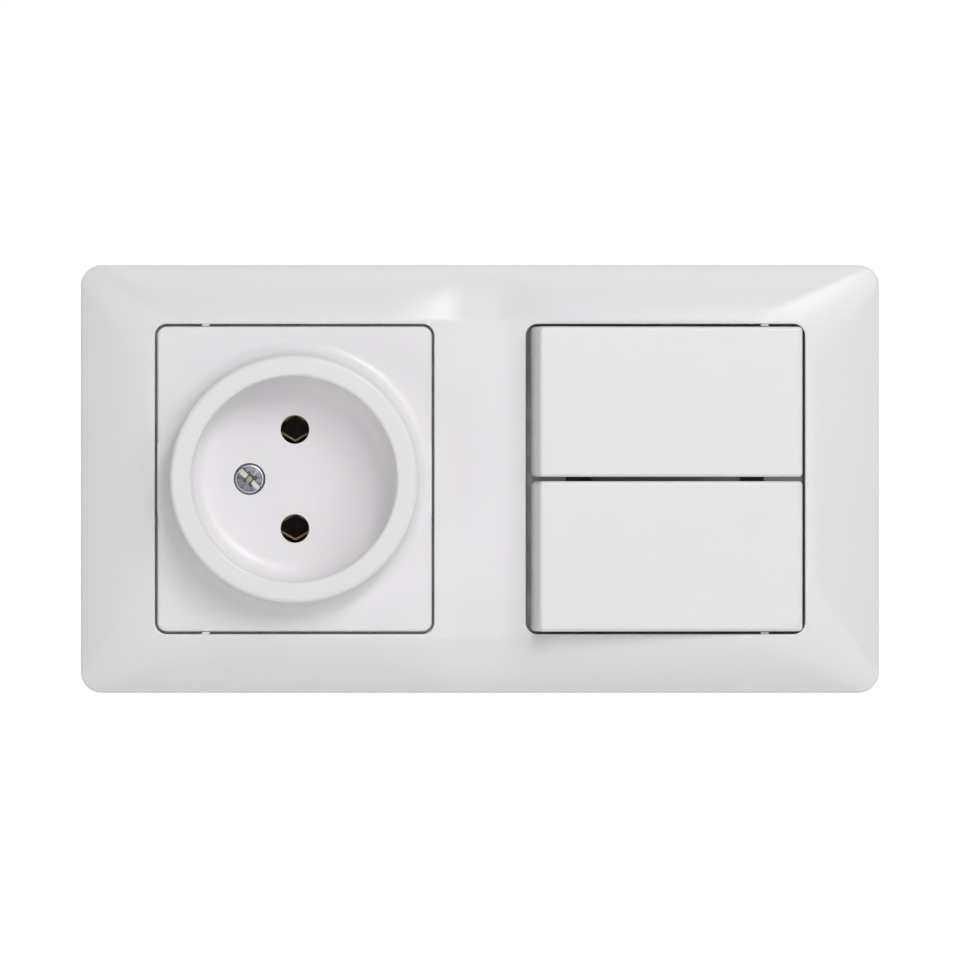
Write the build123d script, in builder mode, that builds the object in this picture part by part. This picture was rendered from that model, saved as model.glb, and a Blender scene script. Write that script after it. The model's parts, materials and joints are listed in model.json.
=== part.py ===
from build123d import *
import os
from math import cos, radians, sin, tan

os.makedirs("parts", exist_ok=True)

# Flush-mounted double set: a two-pole socket on the left and a two-key switch on the right.
# Sizes are millimetres. The wall is the plane y = 0 and the front looks towards -Y.
# A level is a height in front of the wall, so what sits in the wall box has a negative level.

# Whole set
module_pitch = 71.0
socket_x = -module_pitch / 2
switch_x = module_pitch / 2

# Double frame
frame_height = 82.0
frame_width = module_pitch + frame_height
frame_corner = 4.0
frame_wall = 2.0
rim_level = 5.0
crest_level = 9.4
crest_land = 0.8
crown_ease = 1.6
crown_corner = 12.0
crown_shares = (0.0, 0.3, 0.65, 1.0)
rim_edge_round = 0.5
trough_half = 4.8
trough_depth = 0.65
trough_reach = 18.5
trough_run_out = 0.05
trough_swell = 0.15
window_width = 53.5
window_height = 59.4
window_corner = 2.3
window_rim_wall = 1.5
window_rim_foot = 5.5
rib_wall = 1.2
rib_offset = 18.0
nib_width = 1.5
nib_reach = 0.4
nib_height = 1.6
nib_setback = 0.5
socket_nib_offset = -17.0
switch_nib_offset = 19.0

# Fits between neighbouring pieces
seat_gap = 0.2
slip_gap = 0.1
running_gap = 0.05

# Steel supports and their box screws
support_size = 70.0
support_thickness = 1.0
support_corner = 5.0
support_opening_width = 38.0
support_opening_height = 44.0
support_opening_corner = 3.0
box_screw_pitch = 60.0
box_slot_length = 6.5
box_slot_radius = 1.8
rivet_radius = 1.4
rivet_head_radius = 2.2
rivet_head_height = 0.7
rivet_head_round = 0.35
rivet_length = 9.0
rivet_pitch_x = 26.0
rivet_land = 0.65

# Insulating bases
base_width = 46.0
base_shoulder = 4.0
base_chamfer = 8.0
base_depth = 24.0
chamber_depth = 17.0
base_edge = 0.8
pocket_overlap = 0.8
back_recess = 3.0
back_rim_wall = 3.0
back_rib_wall = 2.0

# Screw terminals
strip_thickness = 0.8
strip_width = 4.6
clamp_wall = 0.8
clamp_inner_width = 5.2
clamp_inner_reach = 4.7
clamp_length = 7.2
clamp_gap = 0.3
clamp_lift = 1.0
terminal_screw_radius = 1.45
terminal_screw_head_radius = 2.3
terminal_screw_head_height = 1.5
terminal_screw_tip = 0.8
terminal_screw_sink = 0.2
driver_slot_width = 0.6
driver_slot_depth = 0.6
wire_hole_radius = 1.75
wire_boss_wall = 1.6

# Socket cover
cover_gap = 0.5
cover_level = 9.2
cover_thickness = 2.2
cover_side_wall = 1.8
cover_edge_round = 0.5
flange_reach = 1.3
flange_thickness = 1.2
collar_radius = 23.75
collar_level = 19.0
collar_flare = 2.8
collar_edge_round = 0.9
well_radius = 19.6
well_wall = 2.3
well_level = 4.0
well_mouth_round = 0.6
well_floor_round = 3.5
pin_pitch = 19.0
pin_hole_radius = 2.75
cover_screw_offset = 8.7
cover_screw_radius = 1.5
cover_screw_head_radius = 2.95
cover_screw_head_height = 1.4
cover_screw_sink = 0.3
cover_screw_length = 12.0
cover_screw_edge_round = 0.45
cover_screw_turn = -45.0

# Socket contacts
contact_grip = 4.6
contact_width = 5.4
contact_leaf = 0.4
contact_vee = 30.0
contact_lift = 0.4
contact_front = 1.5
contact_cavity_width = 9.0
contact_cavity_reach = 6.0

# Keys of the switch
key_tilt = 6.0
key_rock_room = 1.5
key_face_level = 12.9
key_skirt_level = 4.5
key_draft = 6.2
key_gap = 0.55
key_middle_gap = 0.84
key_wall = 1.6
key_face_wall = 1.8
key_edge_round = 0.7
key_corner_round = 0.8
key_notch_margin = 2.0
key_clip_wall = 1.4
key_clip_width = 10.0
key_clip_nose = 0.8
key_clip_nose_height = 1.1

# Levers under the keys
pivot_level = 2.4
pivot_radius = 1.2
lever_width = 22.0
lever_plate_rise = 3.0
lever_plate_wall = 2.2
lever_cheek_wall = 2.0
lever_cheek_radius = 2.6
lever_side_play = 0.3
lever_stem_radius = 4.0
lever_stem_reach = 6.4
lever_bore_rise = 2.0

# Inner cap of the switch
cap_wall = 1.2
cap_ring_wall = 1.6
cap_band_width = 29.0
cap_throat_width = 10.6
divider_wall = 2.4
divider_width = 28.0
divider_level = 8.8
bearing_wall = 1.6
bearing_width = 10.0
bearing_level = 6.0
bearing_start = 21.2
box_screw_notch = 9.0
notch_lip_level = 3.2
notch_lip_wall = 0.6
notch_lip_reach = 0.9
stop_offset = 9.9
stop_size = 1.8
stop_level = 4.1
stop_spread = 7.2
hook_offset = 10.0
hook_width = 4.0
hook_wall = 1.4
hook_depth = 6.0
hook_nose = 1.0
hook_nose_height = 1.8

# Tipping contacts
plunger_reach = 13.05
plunger_back = 4.0
plunger_tip_round = 1.8
spring_wire = 0.5
spring_turns = 6
seesaw_tilt = 5.0
seesaw_depth = 11.5
seesaw_length = 16.0
seesaw_width = 5.0
seesaw_trunnion_radius = 0.8
seesaw_trunnion_reach = 4.2
saddle_inset = 0.5
saddle_width = 5.0
saddle_rise = 1.1
contact_stud_radius = 1.5
contact_stud_height = 0.6
contact_stud_offset = 7.0
contact_air = 0.15
rest_shelf_reach = 7.5
rest_shelf_wall = 2.5
chamber_width = 28.0
chamber_height = 42.0

# Values that follow from those above
side_run = (frame_width - module_pitch - window_width) / 2 - crest_land
end_run = (frame_height - window_height) / 2 - crest_land
flange_top = window_rim_foot - seat_gap
flange_foot = flange_top - flange_thickness
flange_width = window_width + 2 * flange_reach
flange_height = window_height + 2 * flange_reach
cover_width = window_width - 2 * cover_gap
cover_height = window_height - 2 * cover_gap
cover_corner = window_corner - cover_gap
cover_back = support_thickness + seat_gap
base_front = support_thickness - seat_gap
base_height = support_opening_height + 2 * base_shoulder
rivet_pitch_z = support_opening_height + 2 * (rivet_radius + running_gap + rivet_land)
pin_z = pin_pitch / 2
cap_foot = support_thickness + seat_gap
cap_top = cap_foot + cap_wall
key_low = key_middle_gap / 2
key_high = window_height / 2 - key_gap
key_length = key_high - key_low
key_face_width = window_width - 2 * key_rock_room
key_skirt_width = key_face_width + 2 * (key_face_level - key_skirt_level) * tan(radians(key_draft))
lever_low = divider_wall / 2 + lever_side_play
lever_high = bearing_start - lever_side_play
lever_length = lever_high - lever_low
lever_z = (lever_low + lever_high) / 2
common_z = -lever_z / 2
plunger_bore = lever_stem_radius / 2 + running_gap
plunger_radius = plunger_bore - running_gap
clamp_width = clamp_inner_width + 2 * clamp_wall
clamp_reach = clamp_inner_reach + 2 * clamp_wall
terminal_head_x = base_width / 2 - terminal_screw_sink - terminal_screw_head_height
clamp_outer_x = terminal_head_x - slip_gap
clamp_x = clamp_outer_x - clamp_reach / 2
clamp_rear = chamber_depth - strip_thickness - clamp_lift
upright_x = clamp_x - clamp_inner_reach / 2 + running_gap + strip_thickness / 2
wire_hole_x = upright_x + strip_thickness / 2 + slip_gap + wire_hole_radius
pocket_outer_x = clamp_outer_x + clamp_gap
strip_mid = chamber_depth - strip_thickness / 2
tip_drop = seesaw_length / 2 * sin(radians(seesaw_tilt))
stud_drop = contact_stud_offset * sin(radians(seesaw_tilt))
shelf_front = seesaw_depth + tip_drop + strip_thickness / 2 + contact_air
stud_front = seesaw_depth + stud_drop + strip_thickness / 2 + contact_stud_height + contact_air
platform_mid = stud_front + contact_stud_height + strip_thickness / 2


def front(level):
    # Plane parallel to the wall, looking out of it
    return Plane.XZ.offset(level)


def turned_front(x, level, turn):
    # The same plane turned about an upright line through (x, level)
    a = radians(turn)
    return Plane(origin=(x, -level, 0), x_dir=(cos(a), sin(a), 0), z_dir=(sin(a), -cos(a), 0))


def turned_side(x, level, turn, z_top):
    # Side view from below the same line: first axis to the right, second towards the front
    a = radians(turn)
    return Plane(origin=(x, -level, z_top), x_dir=(cos(a), sin(a), 0), z_dir=(0, 0, -1))


def crown_level(share):
    # Height of the frame's face: steep at the outer edge, easing towards the windows
    rise = crest_level - rim_level
    return rim_level + rise * share * (crown_ease - (crown_ease - 1) * share)


def corner_radius(share):
    # Corners of the frame's face grow rounder towards the windows
    return frame_corner + share * (crown_corner - frame_corner)


def at_rim(edge):
    # True for the edges where the straight rim meets the crowned face
    box = edge.bounding_box()
    return abs(box.min.Y + rim_level) + abs(box.max.Y + rim_level) < running_gap


def terminal_pockets(x, places):
    # Sketch of the pockets for screw clamps, where sign tells the left from the right side
    for sign, z in places:
        inner = chamber_width / 2 - pocket_overlap
        with Locations((x + sign * (inner + pocket_outer_x) / 2, z)):
            Rectangle(pocket_outer_x - inner, clamp_width + 2 * clamp_gap)


# Where the screw terminals stand: side of the base, height
socket_terminals = ((1, pin_z), (1, -pin_z))
switch_terminals = ((1, lever_z), (1, -lever_z), (-1, common_z))
modules = (("socket", socket_x, socket_terminals), ("switch", switch_x, switch_terminals))

# Space behind the frame's face, less the window rims and the stiffening ribs
with BuildPart() as frame_hollow:
    with BuildSketch(front(0)):
        RectangleRounded(
            frame_width - 2 * frame_wall, frame_height - 2 * frame_wall, frame_corner - frame_wall
        )
    extrude(amount=rim_level - frame_wall)
    for share in crown_shares:
        with BuildSketch(front(crown_level(share) - frame_wall)):
            RectangleRounded(
                frame_width - 2 * (frame_wall + share * side_run),
                frame_height - 2 * (frame_wall + share * end_run),
                corner_radius(share) - frame_wall,
            )
    loft()
    with BuildSketch(front(window_rim_foot)):
        with Locations((socket_x, 0), (switch_x, 0)):
            RectangleRounded(
                window_width + 2 * window_rim_wall,
                window_height + 2 * window_rim_wall,
                window_corner + window_rim_wall,
            )
    extrude(amount=crest_level, mode=Mode.SUBTRACT)
    with BuildSketch(front(window_rim_foot)):
        Rectangle(rib_wall, frame_height)
        for x in (socket_x, switch_x):
            with Locations((x - rib_offset, 0), (x + rib_offset, 0)):
                Rectangle(rib_wall, frame_height)
    extrude(amount=crest_level, mode=Mode.SUBTRACT)

# Double frame: straight rim, crowned face with a shallow trough down its middle bar, two windows
# and the small nibs that centre the inserts
with BuildPart() as frame:
    with BuildSketch(front(0)):
        RectangleRounded(frame_width, frame_height, frame_corner)
    extrude(amount=rim_level)
    for share in crown_shares:
        with BuildSketch(front(crown_level(share))):
            RectangleRounded(
                frame_width - 2 * share * side_run,
                frame_height - 2 * share * end_run,
                corner_radius(share),
            )
    loft()
    fillet(frame.edges().filter_by(at_rim), rim_edge_round)
    trough_rim = -crest_level - trough_run_out
    trough_floor = trough_depth - crest_level
    with BuildSketch(Plane.XY.offset(-frame_height / 2)):
        with BuildLine():
            for side in (-1, 1):
                flank_top = (side * trough_reach, trough_rim)
                flank_foot = (side * trough_half, trough_floor)
                SagittaArc(flank_top, flank_foot, side * trough_swell)
            Line((-trough_half, trough_floor), (trough_half, trough_floor))
            Line((-trough_reach, trough_rim), (trough_reach, trough_rim))
        make_face()
    extrude(amount=frame_height, mode=Mode.SUBTRACT)
    add(frame_hollow.part, mode=Mode.SUBTRACT)
    with BuildSketch(front(0)):
        with Locations((socket_x, 0), (switch_x, 0)):
            RectangleRounded(window_width, window_height, window_corner)
    extrude(amount=crest_level, mode=Mode.SUBTRACT)
    with BuildSketch(front(crest_level - nib_setback - nib_height)):
        for x in (socket_x + socket_nib_offset, switch_x + switch_nib_offset):
            with Locations((x, window_height / 2), (x, -window_height / 2)):
                Rectangle(nib_width, 2 * nib_reach)
    extrude(amount=nib_height)
frame.part.label = "frame"
export_step(frame.part, "parts/frame.step")

# Socket cover: square plate with a skirt and a flange that holds the frame, round collar and plug well
with BuildPart() as socket_cover:
    with BuildSketch(front(flange_foot)):
        with Locations((socket_x, 0)):
            RectangleRounded(cover_width, cover_height, cover_corner)
    extrude(amount=cover_level - flange_foot)
    fillet(socket_cover.faces().sort_by(Axis.Y)[0].edges(), cover_edge_round)
    with BuildSketch(front(flange_foot)):
        with Locations((socket_x, 0)):
            RectangleRounded(
                cover_width - 2 * cover_side_wall, cover_height - 2 * cover_side_wall, cover_corner
            )
    extrude(amount=cover_level - cover_thickness - flange_foot, mode=Mode.SUBTRACT)
    with BuildSketch(front(flange_foot)):
        with Locations((socket_x, 0)):
            Circle(well_radius + well_wall / 2)
    extrude(amount=cover_level - flange_foot, mode=Mode.SUBTRACT)
    plate_middle = cover_level - cover_thickness / 2
    flare_edge = collar_radius + collar_flare + cover_edge_round
    with BuildSketch(turned_side(socket_x, 0, 0, 0)):
        with BuildLine():
            Polyline(
                (0, well_level),
                (0, cover_back),
                (well_radius + well_wall, cover_back),
                (well_radius + well_wall, plate_middle),
                (flare_edge, plate_middle),
                (flare_edge, cover_level),
            )
            FilletPolyline(
                (flare_edge, cover_level),
                (collar_radius, cover_level),
                (collar_radius, collar_level),
                (well_radius, collar_level),
                (well_radius, well_level),
                (0, well_level),
                radius=[collar_flare, collar_edge_round, well_mouth_round, well_floor_round],
            )
        make_face()
    revolve(axis=Axis((socket_x, 0, 0), (0, 1, 0)))
    with BuildSketch(front(cover_back)):
        with Locations((socket_x, 0)):
            RectangleRounded(cover_width, cover_height, cover_corner)
    extrude(amount=collar_level - cover_back, mode=Mode.INTERSECT)
    with BuildSketch(front(flange_foot)):
        with Locations((socket_x, 0)):
            RectangleRounded(flange_width, flange_height, window_corner + flange_reach)
            RectangleRounded(
                cover_width - 2 * cover_side_wall,
                cover_height - 2 * cover_side_wall,
                cover_corner,
                mode=Mode.SUBTRACT,
            )
    extrude(amount=flange_thickness)
    with BuildSketch(front(cover_back)):
        with Locations((socket_x, pin_z), (socket_x, -pin_z)):
            Circle(pin_hole_radius)
        with Locations((socket_x - cover_screw_offset, 0)):
            Circle(cover_screw_radius + slip_gap)
    extrude(amount=well_level - cover_back, mode=Mode.SUBTRACT)
    with BuildSketch(front(well_level)):
        with Locations((socket_x - cover_screw_offset, 0)):
            Circle(cover_screw_head_radius + slip_gap)
    extrude(amount=-(cover_screw_head_height + cover_screw_sink), mode=Mode.SUBTRACT)
socket_cover.part.label = "socket_cover"
export_step(socket_cover.part, "parts/socket_cover.step")

# Cover screw: domed head with a cross recess and a longer driver slot
screw_head_top = well_level - cover_screw_sink
with BuildPart() as socket_cover_screw:
    with BuildSketch(front(screw_head_top)):
        with Locations((socket_x - cover_screw_offset, 0)):
            Circle(cover_screw_head_radius)
    extrude(amount=-cover_screw_head_height)
    fillet(socket_cover_screw.edges().sort_by(Axis.Y)[0], cover_screw_edge_round)
    with BuildSketch(front(screw_head_top - cover_screw_head_height)):
        with Locations((socket_x - cover_screw_offset, 0)):
            Circle(cover_screw_radius)
    extrude(amount=-cover_screw_length)
    with BuildSketch(front(screw_head_top)):
        with Locations(Location((socket_x - cover_screw_offset, 0), cover_screw_turn)):
            Rectangle(2 * cover_screw_head_radius, driver_slot_width)
            Rectangle(driver_slot_width, cover_screw_head_radius)
    extrude(amount=-driver_slot_depth, mode=Mode.SUBTRACT)
socket_cover_screw.part.label = "socket_cover_screw"
export_step(socket_cover_screw.part, "parts/socket_cover_screw.step")

# Steel supports: plates with an opening for the base and four radial slots for the box screws
for module, x, terminals in modules:
    with BuildPart() as support:
        with BuildSketch(front(0)):
            with Locations((x, 0)):
                RectangleRounded(support_size, support_size, support_corner)
                RectangleRounded(
                    support_opening_width,
                    support_opening_height,
                    support_opening_corner,
                    mode=Mode.SUBTRACT,
                )
            with Locations((x, 0)):
                with PolarLocations(box_screw_pitch / 2, 4):
                    SlotOverall(box_slot_length, 2 * box_slot_radius, mode=Mode.SUBTRACT)
            with Locations((x, 0)):
                with GridLocations(rivet_pitch_x, rivet_pitch_z, 2, 2):
                    Circle(rivet_radius + running_gap, mode=Mode.SUBTRACT)
        extrude(amount=support_thickness)
    support.part.label = f"{module}_support"
    export_step(support.part, f"parts/{module}_support.step")

# Rivets that hold each base to its support
for module, x, terminals in modules:
    with BuildPart() as rivets:
        with BuildSketch(front(support_thickness)):
            with Locations((x, 0)):
                with GridLocations(rivet_pitch_x, rivet_pitch_z, 2, 2):
                    Circle(rivet_head_radius)
        extrude(amount=rivet_head_height)
        fillet(rivets.edges().group_by(Axis.Y)[0], rivet_head_round)
        with BuildSketch(front(support_thickness)):
            with Locations((x, 0)):
                with GridLocations(rivet_pitch_x, rivet_pitch_z, 2, 2):
                    Circle(rivet_radius)
        extrude(amount=-rivet_length)
    rivets.part.label = f"{module}_rivets"
    export_step(rivets.part, f"parts/{module}_rivets.step")

# Insulating bases: block for the wall box with a raised spigot, clamp pockets, wire and driver holes,
# and a recessed back with ribs and wire bosses
for module, x, terminals in modules:
    with BuildPart() as base:
        with BuildSketch(front(0)):
            with Locations((x, 0)):
                Rectangle(base_width, base_height)
            chamfer(vertices(), base_chamfer)
        extrude(amount=-base_depth)
        fillet(base.edges().group_by(Axis.Y)[-1], base_edge)
        with BuildSketch(front(0)):
            with Locations((x, 0)):
                RectangleRounded(
                    support_opening_width - 2 * seat_gap,
                    support_opening_height - 2 * seat_gap,
                    support_opening_corner,
                )
        extrude(amount=base_front)
        with BuildSketch(front(base_front)):
            terminal_pockets(x, terminals)
            if module == "socket":
                with Locations((x, pin_z), (x, -pin_z)):
                    Rectangle(2 * contact_cavity_reach, contact_cavity_width)
                for z in (pin_z, -pin_z):
                    with Locations((x + clamp_x / 2, z)):
                        Rectangle(clamp_x, strip_width + 2 * clamp_gap)
            else:
                with Locations((x, 0)):
                    Rectangle(chamber_width, chamber_height)
        extrude(amount=-(chamber_depth + base_front), mode=Mode.SUBTRACT)
        with BuildSketch(front(-base_depth)):
            with Locations((x, 0)):
                Rectangle(base_width - 2 * back_rim_wall, base_height - 2 * back_rim_wall)
            chamfer(vertices(), base_chamfer)
            with Locations((x, 0)):
                Rectangle(back_rib_wall, base_height, mode=Mode.SUBTRACT)
                Rectangle(base_width, back_rib_wall, mode=Mode.SUBTRACT)
            for sign, z in terminals:
                with Locations((x + sign * wire_hole_x, z)):
                    Circle(wire_hole_radius + wire_boss_wall, mode=Mode.SUBTRACT)
        extrude(amount=back_recess, mode=Mode.SUBTRACT)
        with BuildSketch(front(-chamber_depth)):
            for sign, z in terminals:
                with Locations((x + sign * wire_hole_x, z)):
                    Circle(wire_hole_radius)
        extrude(amount=chamber_depth - base_depth, mode=Mode.SUBTRACT)
        with BuildSketch(front(0)):
            with Locations((x, 0)):
                with GridLocations(rivet_pitch_x, rivet_pitch_z, 2, 2):
                    Circle(rivet_radius + running_gap)
        extrude(amount=-rivet_length, mode=Mode.SUBTRACT)
        for sign, z in terminals:
            with BuildSketch(Plane.YZ.offset(x + sign * base_width / 2)):
                with Locations((clamp_rear - clamp_length / 2, z)):
                    Circle(terminal_screw_head_radius + clamp_gap)
            extrude(amount=-sign * (base_width / 2 - clamp_x), mode=Mode.SUBTRACT)
        if module == "socket":
            with BuildSketch(front(base_front)):
                with Locations((x - cover_screw_offset, 0)):
                    Circle(cover_screw_radius + running_gap)
            extrude(amount=-cover_screw_length, mode=Mode.SUBTRACT)
        else:
            with BuildSketch(front(-shelf_front)):
                for z in (lever_z, -lever_z):
                    with Locations((x - (chamber_width - rest_shelf_reach) / 2, z)):
                        Rectangle(rest_shelf_reach, strip_width)
            extrude(amount=-rest_shelf_wall)
            with BuildSketch(front(hook_nose_height + seat_gap - hook_depth)):
                with Locations((x, 0)):
                    with GridLocations(2 * hook_offset, chamber_height, 2, 2):
                        Rectangle(hook_width + 2 * clamp_gap, 2 * (hook_nose + clamp_gap))
            extrude(amount=-(hook_nose_height + 2 * seat_gap), mode=Mode.SUBTRACT)
    base.part.label = f"{module}_base"
    export_step(base.part, f"parts/{module}_base.step")

# Screw clamps: open brass cages around the strip ends
for module, x, terminals in modules:
    with BuildPart() as clamps:
        with BuildSketch(front(clamp_length - clamp_rear)):
            for sign, z in terminals:
                with Locations((x + sign * clamp_x, z)):
                    Rectangle(clamp_reach, clamp_width)
                    Rectangle(clamp_inner_reach, clamp_inner_width, mode=Mode.SUBTRACT)
        extrude(amount=-clamp_length)
        for sign, z in terminals:
            with BuildSketch(Plane.YZ.offset(x + sign * clamp_outer_x)):
                with Locations((clamp_rear - clamp_length / 2, z)):
                    Circle(terminal_screw_radius + running_gap)
            extrude(amount=-sign * clamp_wall, mode=Mode.SUBTRACT)
    clamps.part.label = f"{module}_clamps"
    export_step(clamps.part, f"parts/{module}_clamps.step")

# Terminal screws: slotted heads that lie in the driver holes of the base
for module, x, terminals in modules:
    with BuildPart() as screws:
        for sign, z in terminals:
            head_foot = Plane.YZ.offset(x + sign * terminal_head_x)
            with BuildSketch(head_foot):
                with Locations((clamp_rear - clamp_length / 2, z)):
                    Circle(terminal_screw_head_radius)
            extrude(amount=sign * terminal_screw_head_height)
            with BuildSketch(head_foot):
                with Locations((clamp_rear - clamp_length / 2, z)):
                    Circle(terminal_screw_radius)
            extrude(amount=-sign * (slip_gap + clamp_wall + terminal_screw_tip))
            with BuildSketch(head_foot.offset(sign * terminal_screw_head_height)):
                with Locations((clamp_rear - clamp_length / 2, z)):
                    Rectangle(2 * terminal_screw_head_radius, driver_slot_width)
            extrude(amount=-sign * driver_slot_depth, mode=Mode.SUBTRACT)
    screws.part.label = f"{module}_terminal_screws"
    export_step(screws.part, f"parts/{module}_terminal_screws.step")

# Socket contacts: clips folded to a vee above and below the round pin, each with a tail into its clamp
vee_run = contact_width / 2
vee_tip = contact_grip / 2 + contact_leaf / 2 / cos(radians(contact_vee))
vee_end = vee_tip - vee_run * tan(radians(contact_vee))
for pole, z in (("upper", pin_z), ("lower", -pin_z)):
    grip_z = z + contact_lift
    with BuildPart() as contact:
        with BuildSketch(front(-contact_front)):
            with BuildLine():
                Polyline(
                    (socket_x - vee_run, grip_z - vee_end),
                    (socket_x, grip_z - vee_tip),
                    (socket_x + vee_run, grip_z - vee_end),
                    (socket_x + vee_run, grip_z + vee_end),
                    (socket_x, grip_z + vee_tip),
                    (socket_x - vee_run, grip_z + vee_end),
                )
            trace(line_width=contact_leaf)
        extrude(amount=contact_front - chamber_depth)
        with BuildSketch(turned_side(socket_x, 0, 0, z + strip_width / 2)):
            with BuildLine():
                Polyline(
                    (vee_run, -strip_mid), (upright_x, -strip_mid), (upright_x, clamp_length - clamp_rear)
                )
            trace(line_width=strip_thickness)
        extrude(amount=strip_width)
    contact.part.label = f"socket_contact_{pole}"
    export_step(contact.part, f"parts/socket_contact_{pole}.step")

# Inner cap: flanged tray with a divider between the keys, bearings, stops and snap hooks
tray_width = flange_width - 2 * cap_ring_wall
tray_height = flange_height - 2 * cap_ring_wall
bearing_end = bearing_start + bearing_wall
hook_z = chamber_height / 2 - seat_gap - hook_wall / 2
with BuildPart() as switch_inner_cap:
    with BuildSketch(front(cap_foot)):
        with Locations((switch_x, 0)):
            RectangleRounded(flange_width, flange_height, window_corner + flange_reach)
    extrude(amount=flange_top - cap_foot)
    with BuildSketch(front(cap_top)):
        with Locations((switch_x, 0)):
            RectangleRounded(tray_width, tray_height, window_corner)
    extrude(amount=flange_top - cap_top, mode=Mode.SUBTRACT)
    with BuildSketch(front(cap_foot)):
        for sign in (-1, 1):
            with Locations((switch_x + sign * (cap_band_width + tray_width) / 4, 0)):
                Rectangle((tray_width - cap_band_width) / 2, tray_height)
    extrude(amount=flange_top - cap_foot, mode=Mode.SUBTRACT)
    with BuildSketch(front(cap_foot)):
        for sign in (-1, 1):
            with Locations((switch_x, sign * (bearing_end + cap_wall + flange_height / 2) / 2)):
                Rectangle(box_screw_notch, flange_height / 2 - bearing_end - cap_wall)
    extrude(amount=notch_lip_level - cap_foot, mode=Mode.SUBTRACT)
    with BuildSketch(front(notch_lip_level)):
        for sign in (-1, 1):
            with Locations((switch_x, sign * tray_height / 2)):
                Rectangle(box_screw_notch, 2 * notch_lip_reach)
    extrude(amount=notch_lip_wall)
    with BuildSketch(front(cap_foot)):
        with Locations((switch_x, 0)):
            with GridLocations(rivet_pitch_x, rivet_pitch_z, 2, 2):
                Circle(rivet_head_radius + clamp_gap)
    extrude(amount=flange_top - cap_foot, mode=Mode.SUBTRACT)
    with BuildSketch(front(cap_foot)):
        with Locations((switch_x, 0)):
            Rectangle(divider_width, divider_wall)
    extrude(amount=divider_level - cap_foot)
    with BuildSketch(front(cap_foot)):
        for sign in (-1, 1):
            with Locations((switch_x, sign * (bearing_start + bearing_wall / 2))):
                Rectangle(bearing_width, bearing_wall)
    extrude(amount=bearing_level - cap_foot)
    with BuildSketch(front(cap_foot)):
        for sign in (-1, 1):
            with Locations((switch_x, sign * lever_z)):
                with GridLocations(2 * stop_offset, 2 * stop_spread, 2, 2):
                    Rectangle(stop_size, stop_size)
    extrude(amount=stop_level - cap_foot)
    with BuildSketch(front(cap_foot)):
        for sign in (-1, 1):
            with Locations((switch_x, sign * (bearing_start + divider_wall / 2) / 2)):
                Rectangle(cap_throat_width, bearing_start - divider_wall / 2)
    extrude(amount=cap_wall, mode=Mode.SUBTRACT)
    with BuildSketch(Plane.XY.offset(-bearing_end)):
        with Locations((switch_x, -pivot_level)):
            Circle(pivot_radius + running_gap)
        with Locations((switch_x, -(pivot_level + cap_foot) / 2)):
            Rectangle(2 * (pivot_radius + running_gap), pivot_level - cap_foot)
    extrude(amount=2 * bearing_end, mode=Mode.SUBTRACT)
    with BuildSketch(front(cap_foot)):
        with Locations((switch_x, 0)):
            with GridLocations(2 * hook_offset, 2 * hook_z, 2, 2):
                Rectangle(hook_width, hook_wall)
    extrude(amount=-(cap_foot + hook_depth))
    with BuildSketch(front(hook_nose_height - hook_depth)):
        with Locations((switch_x, 0)):
            with GridLocations(2 * hook_offset, 2 * hook_z + hook_nose, 2, 2):
                Rectangle(hook_width, hook_wall + hook_nose)
    extrude(amount=-hook_nose_height)
switch_inner_cap.part.label = "switch_inner_cap"
export_step(switch_inner_cap.part, "parts/switch_inner_cap.step")

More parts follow.
